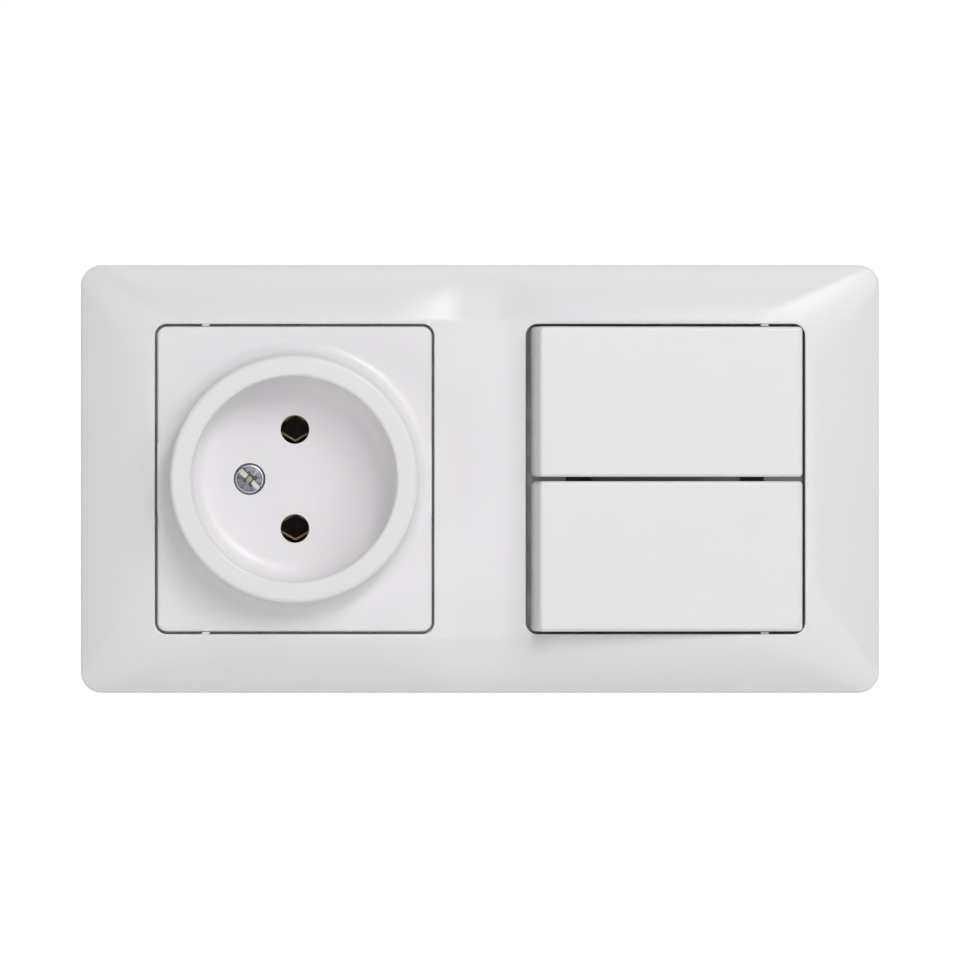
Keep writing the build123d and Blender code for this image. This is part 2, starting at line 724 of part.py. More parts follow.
# Keys and what moves with them: shells that clip on pivoting levers, each lever with a sprung plunger
key_face = key_face_level - pivot_level
key_skirt = key_skirt_level - pivot_level
key_inner_face = key_face - key_face_wall
key_front = Axis((0, 0, 0), (sin(radians(key_tilt)), -cos(radians(key_tilt)), 0))
draft_run = tan(radians(key_draft))
clip_inner = lever_width / 2 + slip_gap
clip_top = lever_plate_rise - slip_gap
for key, sign in (("upper", 1), ("lower", -1)):
    key_top = key_high if sign > 0 else -key_low
    with BuildPart() as rocker:
        with BuildSketch(turned_side(switch_x, pivot_level, key_tilt, key_top)):
            Polygon(
                (-key_face_width / 2, key_face),
                (key_face_width / 2, key_face),
                (key_skirt_width / 2, key_skirt),
                (-key_skirt_width / 2, key_skirt),
                align=None,
            )
        extrude(amount=key_length)
        key_faces = rocker.faces().sort_by(key_front)
        fillet(rocker.edges() - key_faces[0].edges() - key_faces[-1].edges(), key_corner_round)
        fillet(rocker.faces().sort_by(key_front)[-1].edges(), key_edge_round)
        inner_half = key_face_width / 2 - key_wall + key_face_wall * draft_run
        mouth_half = key_skirt_width / 2 - key_wall
        with BuildSketch(turned_side(switch_x, pivot_level, key_tilt, key_top - key_wall)):
            Polygon(
                (-inner_half, key_inner_face),
                (inner_half, key_inner_face),
                (mouth_half, key_skirt),
                (-mouth_half, key_skirt),
                align=None,
            )
        extrude(amount=key_length - 2 * key_wall, mode=Mode.SUBTRACT)
        notch_top = key_low + key_wall if sign > 0 else -key_low
        with BuildSketch(turned_side(switch_x, pivot_level, key_tilt, notch_top)):
            with Locations((0, (key_inner_face + key_skirt) / 2)):
                Rectangle(divider_width + 2 * key_notch_margin, key_inner_face - key_skirt)
        extrude(amount=key_wall, mode=Mode.SUBTRACT)
        with BuildSketch(turned_side(switch_x, pivot_level, key_tilt, sign * lever_z + key_clip_width / 2)):
            for side in (-1, 1):
                with BuildLine():
                    Polyline(
                        (side * clip_inner, key_inner_face + key_face_wall / 2),
                        (side * clip_inner, clip_top),
                        (side * (clip_inner - key_clip_nose), clip_top),
                        (side * clip_inner, clip_top - key_clip_nose_height),
                        (side * (clip_inner + key_clip_wall), clip_top - key_clip_nose_height),
                        (side * (clip_inner + key_clip_wall), key_inner_face + key_face_wall / 2),
                        close=True,
                    )
                make_face()
        extrude(amount=key_clip_width)
    rocker.part.label = f"{key}_rocker"
    export_step(rocker.part, f"parts/{key}_rocker.step")

    lever_top = lever_high if sign > 0 else -lever_low
    stem_front = turned_front(switch_x, pivot_level, key_tilt)
    with BuildPart() as carrier:
        with BuildSketch(turned_side(switch_x, pivot_level, key_tilt, lever_top)):
            with Locations((0, lever_plate_rise + lever_plate_wall / 2)):
                Rectangle(lever_width, lever_plate_wall)
        extrude(amount=lever_length)
        for cheek_top in (lever_top, lever_top - lever_length + lever_cheek_wall):
            with BuildSketch(turned_side(switch_x, pivot_level, key_tilt, cheek_top)):
                Circle(lever_cheek_radius)
                with Locations((0, lever_plate_rise / 2)):
                    Rectangle(2 * lever_cheek_radius, lever_plate_rise)
            extrude(amount=lever_cheek_wall)
        outer_pin = bearing_end - slip_gap - lever_high
        inner_pin = lever_low - slip_gap
        upper_pin, lower_pin = (outer_pin, inner_pin) if sign > 0 else (inner_pin, outer_pin)
        with BuildSketch(turned_side(switch_x, pivot_level, key_tilt, lever_top + upper_pin)):
            Circle(pivot_radius)
        extrude(amount=upper_pin)
        with BuildSketch(turned_side(switch_x, pivot_level, key_tilt, lever_top - lever_length)):
            Circle(pivot_radius)
        extrude(amount=lower_pin)
        with BuildSketch(stem_front.offset(lever_plate_rise)):
            with Locations((0, sign * lever_z)):
                Circle(lever_stem_radius)
        extrude(amount=-(lever_plate_rise + lever_stem_reach))
        with BuildSketch(stem_front.offset(-lever_stem_reach)):
            with Locations((0, sign * lever_z)):
                Circle(plunger_bore)
        extrude(amount=lever_stem_reach + lever_bore_rise, mode=Mode.SUBTRACT)
    carrier.part.label = f"{key}_carrier"
    export_step(carrier.part, f"parts/{key}_carrier.step")

    with BuildPart() as plunger:
        with BuildSketch(stem_front.offset(-plunger_back)):
            with Locations((0, sign * lever_z)):
                Circle(plunger_radius)
        extrude(amount=plunger_back - plunger_reach)
        fillet(plunger.edges().sort_by(key_front)[0], plunger_tip_round)
    plunger.part.label = f"{key}_plunger"
    export_step(plunger.part, f"parts/{key}_plunger.step")

    coil_height = plunger_back + lever_bore_rise - spring_wire - 2 * slip_gap
    coil_radius = plunger_bore - spring_wire / 2 - slip_gap
    coil_foot = stem_front.offset(spring_wire / 2 + slip_gap - plunger_back)
    with BuildPart() as spring:
        with BuildLine():
            coil = Helix(
                coil_height / spring_turns,
                coil_height,
                coil_radius,
                center=coil_foot.from_local_coords((0, sign * lever_z, 0)),
                direction=coil_foot.z_dir,
            )
        with BuildSketch(Plane(origin=coil @ 0, z_dir=coil % 0)):
            Circle(spring_wire / 2)
        sweep(path=coil, is_frenet=True)
    spring.part.label = f"{key}_spring"
    export_step(spring.part, f"parts/{key}_spring.step")

# Tipping contact bars on round trunnions, with a contact stud under the right end
seesaw_front = turned_front(switch_x, -seesaw_depth, -seesaw_tilt)
for key, z in (("upper", lever_z), ("lower", -lever_z)):
    with BuildPart() as seesaw:
        with BuildSketch(turned_side(switch_x, -seesaw_depth, -seesaw_tilt, z + seesaw_width / 2)):
            Rectangle(seesaw_length, strip_thickness)
        extrude(amount=seesaw_width)
        with BuildSketch(turned_side(switch_x, -seesaw_depth, -seesaw_tilt, z + seesaw_trunnion_reach)):
            Circle(seesaw_trunnion_radius)
        extrude(amount=2 * seesaw_trunnion_reach)
        with BuildSketch(seesaw_front.offset(-strip_thickness / 2)):
            with Locations((contact_stud_offset, z)):
                Circle(contact_stud_radius)
        extrude(amount=-contact_stud_height)
    seesaw.part.label = f"{key}_seesaw"
    export_step(seesaw.part, f"parts/{key}_seesaw.step")

# Common terminal: floor strip with a notched saddle each side of both bars, and a tail to its clamp
saddle_offset = seesaw_width / 2 + saddle_inset + strip_thickness / 2
saddle_front = seesaw_depth - saddle_rise
trunnion_seat = seesaw_trunnion_radius + running_gap
with BuildPart() as common_terminal:
    with BuildSketch(front(strip_thickness - chamber_depth)):
        with Locations((switch_x, 0)):
            Rectangle(saddle_width, 2 * (lever_z + saddle_offset) + strip_thickness)
    extrude(amount=-strip_thickness)
    for z in (lever_z, -lever_z):
        for saddle_z in (z - saddle_offset, z + saddle_offset):
            with BuildSketch(Plane.XY.offset(saddle_z - strip_thickness / 2)):
                with Locations((switch_x, (saddle_front + chamber_depth) / 2)):
                    Rectangle(saddle_width, chamber_depth - saddle_front)
                with Locations((switch_x, seesaw_depth)):
                    Circle(trunnion_seat, mode=Mode.SUBTRACT)
                with Locations((switch_x, (saddle_front + seesaw_depth) / 2)):
                    Rectangle(2 * trunnion_seat, saddle_rise, mode=Mode.SUBTRACT)
            extrude(amount=strip_thickness)
    with BuildSketch(turned_side(switch_x, 0, 0, common_z + strip_width / 2)):
        with BuildLine():
            Polyline((0, -strip_mid), (-upright_x, -strip_mid), (-upright_x, clamp_length - clamp_rear))
        trace(line_width=strip_thickness)
    extrude(amount=strip_width)
common_terminal.part.label = "common_terminal"
export_step(common_terminal.part, "parts/common_terminal.step")

# Outgoing terminals: stepped strips with a contact stud under the bar's right end
for key, z in (("upper", lever_z), ("lower", -lever_z)):
    with BuildPart() as outgoing:
        with BuildSketch(turned_side(switch_x, 0, 0, z + strip_width / 2)):
            with BuildLine():
                Polyline(
                    (contact_stud_offset - contact_stud_radius, -platform_mid),
                    (contact_stud_offset + 2 * contact_stud_radius, -platform_mid),
                    (contact_stud_offset + 2 * contact_stud_radius, -strip_mid),
                    (upright_x, -strip_mid),
                    (upright_x, clamp_length - clamp_rear),
                )
            trace(line_width=strip_thickness)
        extrude(amount=strip_width)
        with BuildSketch(front(strip_thickness / 2 - platform_mid)):
            with Locations((switch_x + contact_stud_offset, z)):
                Circle(contact_stud_radius)
        extrude(amount=contact_stud_height)
    outgoing.part.label = f"{key}_outgoing_terminal"
    export_step(outgoing.part, f"parts/{key}_outgoing_terminal.step")
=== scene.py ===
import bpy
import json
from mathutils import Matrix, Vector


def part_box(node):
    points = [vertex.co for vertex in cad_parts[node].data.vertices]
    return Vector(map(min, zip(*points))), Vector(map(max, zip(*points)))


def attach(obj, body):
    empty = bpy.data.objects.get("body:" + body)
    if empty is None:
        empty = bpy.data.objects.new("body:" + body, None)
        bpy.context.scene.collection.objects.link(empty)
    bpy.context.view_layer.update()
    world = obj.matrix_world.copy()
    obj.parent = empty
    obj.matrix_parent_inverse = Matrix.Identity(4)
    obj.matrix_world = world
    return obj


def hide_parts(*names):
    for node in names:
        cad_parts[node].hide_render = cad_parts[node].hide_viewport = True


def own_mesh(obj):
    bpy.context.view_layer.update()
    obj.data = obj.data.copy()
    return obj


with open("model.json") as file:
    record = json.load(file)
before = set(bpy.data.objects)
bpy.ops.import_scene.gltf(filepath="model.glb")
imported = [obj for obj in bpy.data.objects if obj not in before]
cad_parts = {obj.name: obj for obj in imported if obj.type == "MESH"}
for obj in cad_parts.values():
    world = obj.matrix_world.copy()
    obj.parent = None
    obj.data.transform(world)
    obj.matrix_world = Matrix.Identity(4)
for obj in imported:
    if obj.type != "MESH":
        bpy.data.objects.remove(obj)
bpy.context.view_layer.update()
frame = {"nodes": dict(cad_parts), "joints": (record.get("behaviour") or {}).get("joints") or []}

import json
from math import radians

import bmesh
import bpy
import numpy as np
from mathutils import Quaternion, Vector

scene = bpy.context.scene
nodes = frame["nodes"]
mm = 0.001
print("frame loaded:", len(nodes), "nodes")

# noise that every finish shares: scales per metre, octaves, the part of its span that is used,
# and how finely the softened edges are sampled
surfaceLook = dict(cloudScale=45.0, cloudDetail=2.0, smearScale=130.0, smearDetail=3.0, smearRoughness=0.6,
                   grainDetail=2.0, noiseSpan=(0.3, 0.7), edgeSamples=6)


def newGroup(name, inputs, outputs):
    # empty node group with named sockets, returned with its two ends
    group = bpy.data.node_groups.new(name, "ShaderNodeTree")
    for side, sockets in (("INPUT", inputs), ("OUTPUT", outputs)):
        for label, kind in sockets:
            group.interface.new_socket(label, in_out=side, socket_type=kind)
    start = group.nodes.new("NodeGroupInput")
    end = group.nodes.new("NodeGroupOutput")
    return group, start, end


def feed(group, socket, given):
    # a socket takes a plain value, or a link from another socket
    if isinstance(given, (int, float)):
        socket.default_value = given
    else:
        group.links.new(given, socket)


def addNoise(group, coords, scale, detail, roughness=0.5):
    noise = group.nodes.new("ShaderNodeTexNoise")
    noise.inputs["Detail"].default_value = detail
    noise.inputs["Roughness"].default_value = roughness
    group.links.new(coords, noise.inputs["Vector"])
    feed(group, noise.inputs["Scale"], scale)
    return noise.outputs["Fac"]


def addRange(group, value, low, high):
    # noise spread over low to high
    span = group.nodes.new("ShaderNodeMapRange")
    span.inputs["From Min"].default_value = surfaceLook["noiseSpan"][0]
    span.inputs["From Max"].default_value = surfaceLook["noiseSpan"][1]
    group.links.new(value, span.inputs["Value"])
    feed(group, span.inputs["To Min"], low)
    feed(group, span.inputs["To Max"], high)
    return span.outputs["Result"]


def addMix(group, share, low, high):
    mix = group.nodes.new("ShaderNodeMix")
    mix.data_type = "RGBA"
    group.links.new(share, mix.inputs["Factor"])
    group.links.new(low, mix.inputs["A"])
    group.links.new(high, mix.inputs["B"])
    return mix.outputs["Result"]


def makeSurfaceGroup(look):
    # slow clouds tint the colour, finer ones change the gloss, the finest make the moulded or drawn grain;
    # stretch squeezes the grain along one axis, which draws it out into streaks
    group, start, end = newGroup(
        "surfaceGrain",
        [
            ("Light Tint", "NodeSocketColor"),
            ("Dark Tint", "NodeSocketColor"),
            ("Grain Scale", "NodeSocketFloat"),
            ("Stretch", "NodeSocketVector"),
            ("Gloss Low", "NodeSocketFloat"),
            ("Gloss High", "NodeSocketFloat"),
        ],
        [("Color", "NodeSocketColor"), ("Roughness", "NodeSocketFloat"), ("Height", "NodeSocketFloat")],
    )
    given = start.outputs
    place = group.nodes.new("ShaderNodeTexCoord").outputs["Object"]
    drawn = group.nodes.new("ShaderNodeVectorMath")
    drawn.operation = "MULTIPLY"
    group.links.new(place, drawn.inputs[0])
    group.links.new(given["Stretch"], drawn.inputs[1])
    clouds = addRange(group, addNoise(group, place, look["cloudScale"], look["cloudDetail"]), 0.0, 1.0)
    smears = addNoise(group, place, look["smearScale"], look["smearDetail"], look["smearRoughness"])
    grain = addNoise(group, drawn.outputs["Vector"], given["Grain Scale"], look["grainDetail"])
    tint = addMix(group, clouds, given["Light Tint"], given["Dark Tint"])
    gloss = addRange(group, smears, given["Gloss Low"], given["Gloss High"])
    group.links.new(tint, end.inputs["Color"])
    group.links.new(gloss, end.inputs["Roughness"])
    group.links.new(grain, end.inputs["Height"])
    return group


surfaceGrain = makeSurfaceGroup(surfaceLook)

# what each finish looks like: two tints, roughness span, grain scale per metre,
# and in metres the grain depth and the radius that softens edges
finishLook = {
    "whitePlastic": dict(
        light=(0.85, 0.834, 0.85), dark=(0.845, 0.829, 0.845), gloss=(0.28, 0.31), metal=0.0,
        grain=1500.0, depth=0.000003, stretch=(1, 1, 1), edge=0.00015),
    "capPlastic": dict(
        light=(0.36, 0.36, 0.355), dark=(0.33, 0.33, 0.325), gloss=(0.45, 0.6), metal=0.0,
        grain=1800.0, depth=0.00001, stretch=(1, 1, 1), edge=0.0002),
    "basePlastic": dict(
        light=(0.19, 0.135, 0.10), dark=(0.16, 0.113, 0.083), gloss=(0.42, 0.6), metal=0.0,
        grain=1400.0, depth=0.00002, stretch=(1, 1, 1), edge=0.0003),
    "zincSteel": dict(
        light=(0.50, 0.50, 0.49), dark=(0.42, 0.415, 0.39), gloss=(0.34, 0.5), metal=1.0,
        grain=900.0, depth=0.000006, stretch=(1, 1, 0.15), edge=0.0002),
    "screwZinc": dict(
        light=(0.50, 0.52, 0.54), dark=(0.43, 0.45, 0.46), gloss=(0.18, 0.3), metal=1.0,
        grain=2600.0, depth=0.000004, stretch=(1, 1, 1), edge=0.00005),
    # the screw head takes its tints from the attribute: zinc plating colours with painted shade, a painted
    # highlight and a painted reflection
    "screwHead": dict(
        light=(0.50, 0.52, 0.54), dark=(0.43, 0.45, 0.46), gloss=(0.22, 0.34), metal=1.0,
        grain=2600.0, depth=0.000004, stretch=(1, 1, 1), edge=0.00004, attribute="platingAndPaintedLight"),
    "springWire": dict(
        light=(0.55, 0.55, 0.55), dark=(0.45, 0.45, 0.46), gloss=(0.2, 0.34), metal=1.0,
        grain=2200.0, depth=0.000004, stretch=(1, 1, 1), edge=0.00005),
    # contact brass darkened far below the brass strip: painted shade for the leaves deep in the pin holes
    "contactBrassInPaintedShade": dict(
        light=(0.20, 0.145, 0.075), dark=(0.14, 0.10, 0.05), gloss=(0.4, 0.55), metal=1.0,
        grain=1200.0, depth=0.000005, stretch=(0.2, 1, 1), edge=0.00005),
    "brassStrip": dict(
        light=(0.62, 0.45, 0.22), dark=(0.50, 0.35, 0.16), gloss=(0.3, 0.46), metal=1.0,
        grain=1200.0, depth=0.000005, stretch=(0.2, 1, 1), edge=0.0001),
}


def makeFinish(name, look):
    # Principled surface whose colour, gloss and fine relief come from the grain group;
    # a finish that names an attribute takes its colour from there
    material = bpy.data.materials.new(name)
    material.use_nodes = True
    tree = material.node_tree
    shader = tree.nodes["Principled BSDF"]
    grain = tree.nodes.new("ShaderNodeGroup")
    grain.node_tree = surfaceGrain
    grain.inputs["Light Tint"].default_value = (*look["light"], 1)
    grain.inputs["Dark Tint"].default_value = (*look["dark"], 1)
    grain.inputs["Grain Scale"].default_value = look["grain"]
    grain.inputs["Stretch"].default_value = look["stretch"]
    grain.inputs["Gloss Low"].default_value = look["gloss"][0]
    grain.inputs["Gloss High"].default_value = look["gloss"][1]
    relief = tree.nodes.new("ShaderNodeBump")
    relief.inputs["Distance"].default_value = look["depth"]
    edge = tree.nodes.new("ShaderNodeBevel")
    edge.samples = surfaceLook["edgeSamples"]
    edge.inputs["Radius"].default_value = look["edge"]
    tree.links.new(edge.outputs["Normal"], relief.inputs["Normal"])
    tree.links.new(grain.outputs["Height"], relief.inputs["Height"])
    tree.links.new(relief.outputs["Normal"], shader.inputs["Normal"])
    tree.links.new(grain.outputs["Roughness"], shader.inputs["Roughness"])
    tint = grain.outputs["Color"]
    if "attribute" in look:
        platingAndPaintedLight = tree.nodes.new("ShaderNodeAttribute")
        platingAndPaintedLight.attribute_name = look["attribute"]
        tint = platingAndPaintedLight.outputs["Color"]
    tree.links.new(tint, shader.inputs["Base Color"])
    shader.inputs["Metallic"].default_value = look["metal"]
    return material


finishes = {name: makeFinish(name, look) for name, look in finishLook.items()}

# which finish each carried-over piece gets
nodeFinish = {
    "whitePlastic": ["frame", "socket_cover", "upper_rocker", "lower_rocker"],
    "capPlastic": ["switch_inner_cap", "upper_carrier", "lower_carrier", "upper_plunger", "lower_plunger"],
    "basePlastic": ["socket_base", "switch_base"],
    "zincSteel": ["socket_support", "switch_support", "socket_rivets", "switch_rivets"],
    "screwZinc": ["socket_cover_screw", "socket_terminal_screws", "switch_terminal_screws"],
    "springWire": ["upper_spring", "lower_spring"],
    # the contacts get the darkened brass, painted shade of the pin holes
    "contactBrassInPaintedShade": ["socket_contact_upper", "socket_contact_lower"],
    "brassStrip": ["socket_clamps", "switch_clamps", "common_terminal", "upper_outgoing_terminal",
                   "lower_outgoing_terminal", "upper_seesaw", "lower_seesaw"],
}
for name, members in nodeFinish.items():
    for node in members:
        nodes[node].data.materials.clear()
        nodes[node].data.materials.append(finishes[name])
print("finishes placed")

# points nearer than merge (millimetres) become one, edges past sharp (degrees) stay crisp
meshLook = dict(merge=0.001, sharp=40.0)


def tubeFaces(points):
    # points and faces of a grid (rows, columns, 3) whose columns run round and meet;
    # each end row closes on a point in its middle
    rows, columns = points.shape[:2]
    grid = np.arange(rows * columns).reshape(rows, columns)
    after = np.roll(grid, -1, axis=1)
    quads = np.stack([grid[:-1], grid[1:], after[1:], after[:-1]], axis=-1).reshape(-1, 4)
    ends = [points[0].mean(axis=0), points[-1].mean(axis=0)]
    first, last = rows * columns, rows * columns + 1
    caps = np.concatenate([
        np.stack([np.full(columns, first), grid[0], after[0]], axis=-1),
        np.stack([np.full(columns, last), after[-1], grid[-1]], axis=-1),
    ])
    return np.concatenate([points.reshape(-1, 3), ends]), quads.tolist() + caps.tolist()


def addPiece(name, verts, faces, look, node, slot, body="fixed_set", tints=None):
    # a mesh in millimetres becomes a piece that stands for a node and rides on its body;
    # tints, one colour for each point, are kept as the attribute that its finish reads
    mesh = bpy.data.meshes.new(name)
    mesh.from_pydata(verts * mm, [], faces)
    if tints is not None:
        colours = np.concatenate([tints, np.ones((len(tints), 1))], axis=1)
        platingAndPaintedLight = mesh.attributes.new(finishLook[look]["attribute"], "FLOAT_COLOR", "POINT")
        platingAndPaintedLight.data.foreach_set("color", colours.ravel())
    work = bmesh.new()
    work.from_mesh(mesh)
    loose = [vert for vert in work.verts if not vert.link_faces]
    bmesh.ops.delete(work, geom=loose, context="VERTS")
    bmesh.ops.remove_doubles(work, verts=work.verts[:], dist=meshLook["merge"] * mm)
    bmesh.ops.recalc_face_normals(work, faces=work.faces[:])
    work.to_mesh(mesh)
    work.free()
    mesh.polygons.foreach_set("use_smooth", np.ones(len(mesh.polygons), bool))
    mesh.set_sharp_from_angle(angle=radians(meshLook["sharp"]))
    piece = bpy.data.objects.new(name, mesh)
    scene.collection.objects.link(piece)
    mesh.materials.append(finishes[look])
    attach(piece, body)
    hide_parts(node)
    print(name, "made:", len(mesh.vertices), "points,", len(mesh.polygons), "faces")
    return piece


def smoothStep(low, high, value):
    share = np.clip((value - low) / (high - low), 0, 1)
    return share * share * (3 - 2 * share)


def blendTint(base, tint, share):
    return base * (1 - share[..., None]) + np.array(tint) * share[..., None]


# cover screw: sizes in millimetres, turns in degrees, tints of the zinc head with painted shade, a painted
# highlight and a painted reflection
screwLook = dict(
    headHeight=1.4, headRound=0.5, dome=0.16, pole=0.02, floorLeft=0.05, wall=0.09,
    slotWidth=0.95, slotDepth=0.5, slotTurn=-45.0,
    crossTurn=10.0, crossReach=1.5, crossWidth=0.62, crossDepth=1.05, armTaper=0.25, armSlope=1.25,
    coneRadius=0.78, coneRun=0.25, shank=1.5, tipHeight=0.6, tipShare=0.6,
    threadPitch=0.7, threadDepth=0.22, threadFade=1.2,
    columns=224, topRows=84, rimRows=9, threadRows=96,
    # the rim tint is a painted highlight and the ring shade is painted shade, laid on the head by radius
    faceTint=(0.155, 0.162, 0.185), paintedRimHighlight=(0.46, 0.48, 0.51), paintedSlotReflection=(0.42, 0.43, 0.41),
    armTint=(0.46, 0.47, 0.46), middleTint=(0.23, 0.23, 0.155),
    rimWidth=0.42, ringWidth=0.14, paintedRingShade=0.35,
    streaks=((7, 1.0), (13, 2.1), (23, 0.5)), streakShare=0.16)


def screwRecess(r, x, z, look):
    # slot, two cross arms and middle cone as (share, depth, tint):
    # the share is 1 inside and 0 outside, with a smooth step across the wall
    wall = look["wall"]

    def turned(angle):
        a = radians(angle)
        return x * np.cos(a) + z * np.sin(a), z * np.cos(a) - x * np.sin(a)

    def band(half, across):
        return 1 - smoothStep(half - wall, half + wall, np.abs(across))

    slot = band(look["slotWidth"] / 2, turned(look["slotTurn"])[1])
    # the slot's lighter tint is a painted reflection
    cuts = [(slot, look["slotDepth"], look["paintedSlotReflection"])]
    for quarter in (0, 90):
        along, across = turned(look["crossTurn"] + quarter)
        outward = np.abs(along) / look["crossReach"]
        half = look["crossWidth"] / 2 * (1 - look["armTaper"] * outward)
        arm = band(half, across) * np.clip(look["armSlope"] * (1 - outward), 0, 1)
        cuts.append((arm, look["crossDepth"], look["armTint"]))
    cone = look["coneRadius"]
    pit = 1 - smoothStep(cone - look["coneRun"], cone + wall, r)
    cuts.append((pit, look["crossDepth"], look["middleTint"]))
    return cuts


def screwPlatingAndPaintedLight(r, turn, head, look):
    # grey face with streaks from the middle, a darker ring of painted shade and a light rim that is a
    # painted highlight
    streak = sum(np.cos(count * turn + start) for count, start in look["streaks"])
    ring = head - look["rimWidth"] - look["ringWidth"]
    paintedShade = 1 - look["paintedRingShade"] * np.exp(-((r - ring) / look["ringWidth"]) ** 2)
    tint = np.array(look["faceTint"]) * ((1 + look["streakShare"] * streak) * paintedShade)[..., None]
    return blendTint(tint, look["paintedRimHighlight"], smoothStep(ring, head - look["rimWidth"], r))


def makeCoverScrew(look):
    # a profile (radius, level) carried round the screw's axis: head top from the middle outwards,
    # rounded rim, side and underside of the head, threaded shank and tip;
    # the top sinks by the deepest of the slot, the cross arms and the middle cone
    low, high = (np.array(corner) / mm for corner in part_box("socket_cover_screw"))
    middle = (low + high) / 2
    head = (high[0] - low[0]) / 2
    top, foot = -low[1], -high[1]
    shank, bevel = look["shank"], look["headRound"]

    flat = head - bevel
    topRadius = np.linspace(look["pole"], flat, look["topRows"])
    topLevel = top - look["dome"] * (topRadius / flat) ** 2
    bend = np.linspace(0, np.pi / 2, look["rimRows"])[1:]
    rimRadius = flat + bevel * np.sin(bend)
    rimLevel = topLevel[-1] - bevel * (1 - np.cos(bend))
    under = top - look["headHeight"]
    shankLevel = np.linspace(under, foot + look["tipHeight"], look["threadRows"])
    shankRadius = np.full(len(shankLevel), shank)
    tip = shank * look["tipShare"]
    radius = np.concatenate([topRadius, rimRadius, [head, shank], shankRadius, [tip]])
    level = np.concatenate([topLevel, rimLevel, [under, under], shankLevel, [foot]])

    turn = np.linspace(0, 2 * np.pi, look["columns"], endpoint=False)
    r = np.repeat(radius[:, None], len(turn), axis=1)
    h = np.repeat(level[:, None], len(turn), axis=1)
    x, z = r * np.cos(turn), r * np.sin(turn)
    onTop = (np.arange(len(radius)) < len(topRadius) + len(rimRadius))[:, None]
    onShank = np.zeros((len(radius), 1), bool)
    onShank[-len(shankLevel) - 1:-1] = True

    tint = screwPlatingAndPaintedLight(r, turn, head, look)
    sunk = np.zeros_like(h)
    for share, depth, cutTint in screwRecess(r, x, z, look):
        tint = blendTint(tint, cutTint, share * onTop)
        sunk = np.maximum(sunk, depth * share)
    h = h - np.where(onTop, np.minimum(sunk, h - under - look["floorLeft"]), 0)

    # thread: a triangle wave of the angle and the level, faded out under the head
    wave = np.abs(((h / look["threadPitch"] + turn / (2 * np.pi)) % 1) * 2 - 1)
    fade = smoothStep(0.0, look["threadFade"], under - h)
    narrow = np.where(onShank, 1 - look["threadDepth"] / shank * wave * fade, 1)
    points = np.stack([middle[0] + x * narrow, -h, middle[2] + z * narrow], axis=-1)
    ends = [tint[0].mean(axis=0), tint[-1].mean(axis=0)]
    tints = np.concatenate([tint.reshape(-1, 3), ends])
    addPiece("coverScrew", *tubeFaces(points), "screwHead", "socket_cover_screw", "zinc_steel", tints=tints)


makeCoverScrew(screwLook)

# double frame in millimetres: outline and crown, windows, trough of the middle bar, walls and ribs behind,
# nibs, and how finely it is cut
frameLook = dict(
    pitch=71.0, corner=4.0, rim=5.0, rimRound=0.5, rimTurn=60.0,
    crest=9.4, ease=1.6, land=0.8, crownCorner=12.0, halvings=26,
    windowWidth=53.5, windowHeight=59.4, windowCorner=2.3, windowRound=0.2, windowWall=1.5, windowFoot=5.5,
    troughHalf=4.8, troughEase=2.0, troughReach=18.5, troughDepth=0.65, troughFade=9.0,
    troughDip=0.45, dipSpan=(20.0, 33.0),
    wall=2.0, ribWall=1.2, ribOffset=18.0, middleInset=2.6, sink=0.3,
    nibWidth=1.5, nibReach=0.4, nibLow=7.3, nibHigh=8.9, nibPlaces=(-52.5, 54.5),
    topColumns=110, cornerColumns=12, sideColumns=84,
    rimRows=7, faceRows=36, windowRows=5, ceilingRows=10, ribRows=24, middleRibRows=90)
frameHalf = np.array(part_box("frame")[1])[[0, 2]] / mm  # half its width and half its height


def crownLevel(x, z, inset, look):
    # lines of equal height are rounded rectangles that shrink by a share s from the rim to the windows
    # while their corners grow rounder: level = rim + rise * s * (ease - (ease - 1) * s);
    # s is found by halving, and inset shrinks the whole crown, as under the face
    half = frameHalf - inset
    windows = np.array([look["pitch"] + look["windowWidth"], look["windowHeight"]]) / 2
    run = frameHalf - look["land"] - windows
    place = np.abs(np.stack([x, z], axis=-1))
    less, more = np.zeros_like(x), np.ones_like(x)
    for _ in range(look["halvings"]):
        share = (less + more) / 2
        radius = look["corner"] - inset + share * (look["crownCorner"] - look["corner"])
        over = place - half + share[..., None] * run + radius[..., None]
        outside = np.hypot(*np.moveaxis(np.maximum(over, 0), -1, 0))
        gap = outside + np.minimum(over.max(axis=-1), 0) - radius
        less = np.where(gap < 0, share, less)
        more = np.where(gap < 0, more, share)
    rise = look["crest"] - look["rim"]
    return look["rim"] + rise * share * (look["ease"] - (look["ease"] - 1) * share)


def faceLevel(x, z, look):
    # crown less the trough of the middle bar: its flanks steepen evenly from the reach to the flat band,
    # whose edges are eased; it dips a little beside the windows' corners and fades out at the rim
    ease = look["troughEase"]
    run = look["troughReach"] - look["troughHalf"] - ease
    down = np.clip(look["troughReach"] - np.abs(x), 0, run + 2 * ease)
    past = np.clip(down - run, 0, 2 * ease)
    flank = (down ** 2 / 2 - past ** 2 * (0.5 + run / (4 * ease))) / (run ** 2 / 2 + run * ease)
    depth = look["troughDepth"] + look["troughDip"] * smoothStep(*look["dipSpan"], np.abs(z))
    fade = smoothStep(0, look["troughFade"], frameHalf[1] - np.abs(z))
    return crownLevel(x, z, 0.0, look) - depth * flank * fade


def ceilingLevel(x, z, look):
    # underside of the face, one wall below the crown
    return crownLevel(x, z, look["wall"], look) - look["wall"]


def cornerArc(centre, radius, start, end, count):
    # points of an arc and their directions away from its middle, angles in degrees
    angle = np.radians(np.linspace(start, end, count, endpoint=False))
    away = np.stack([np.cos(angle), np.sin(angle)], axis=-1)
    return np.array(centre) + radius * away, away


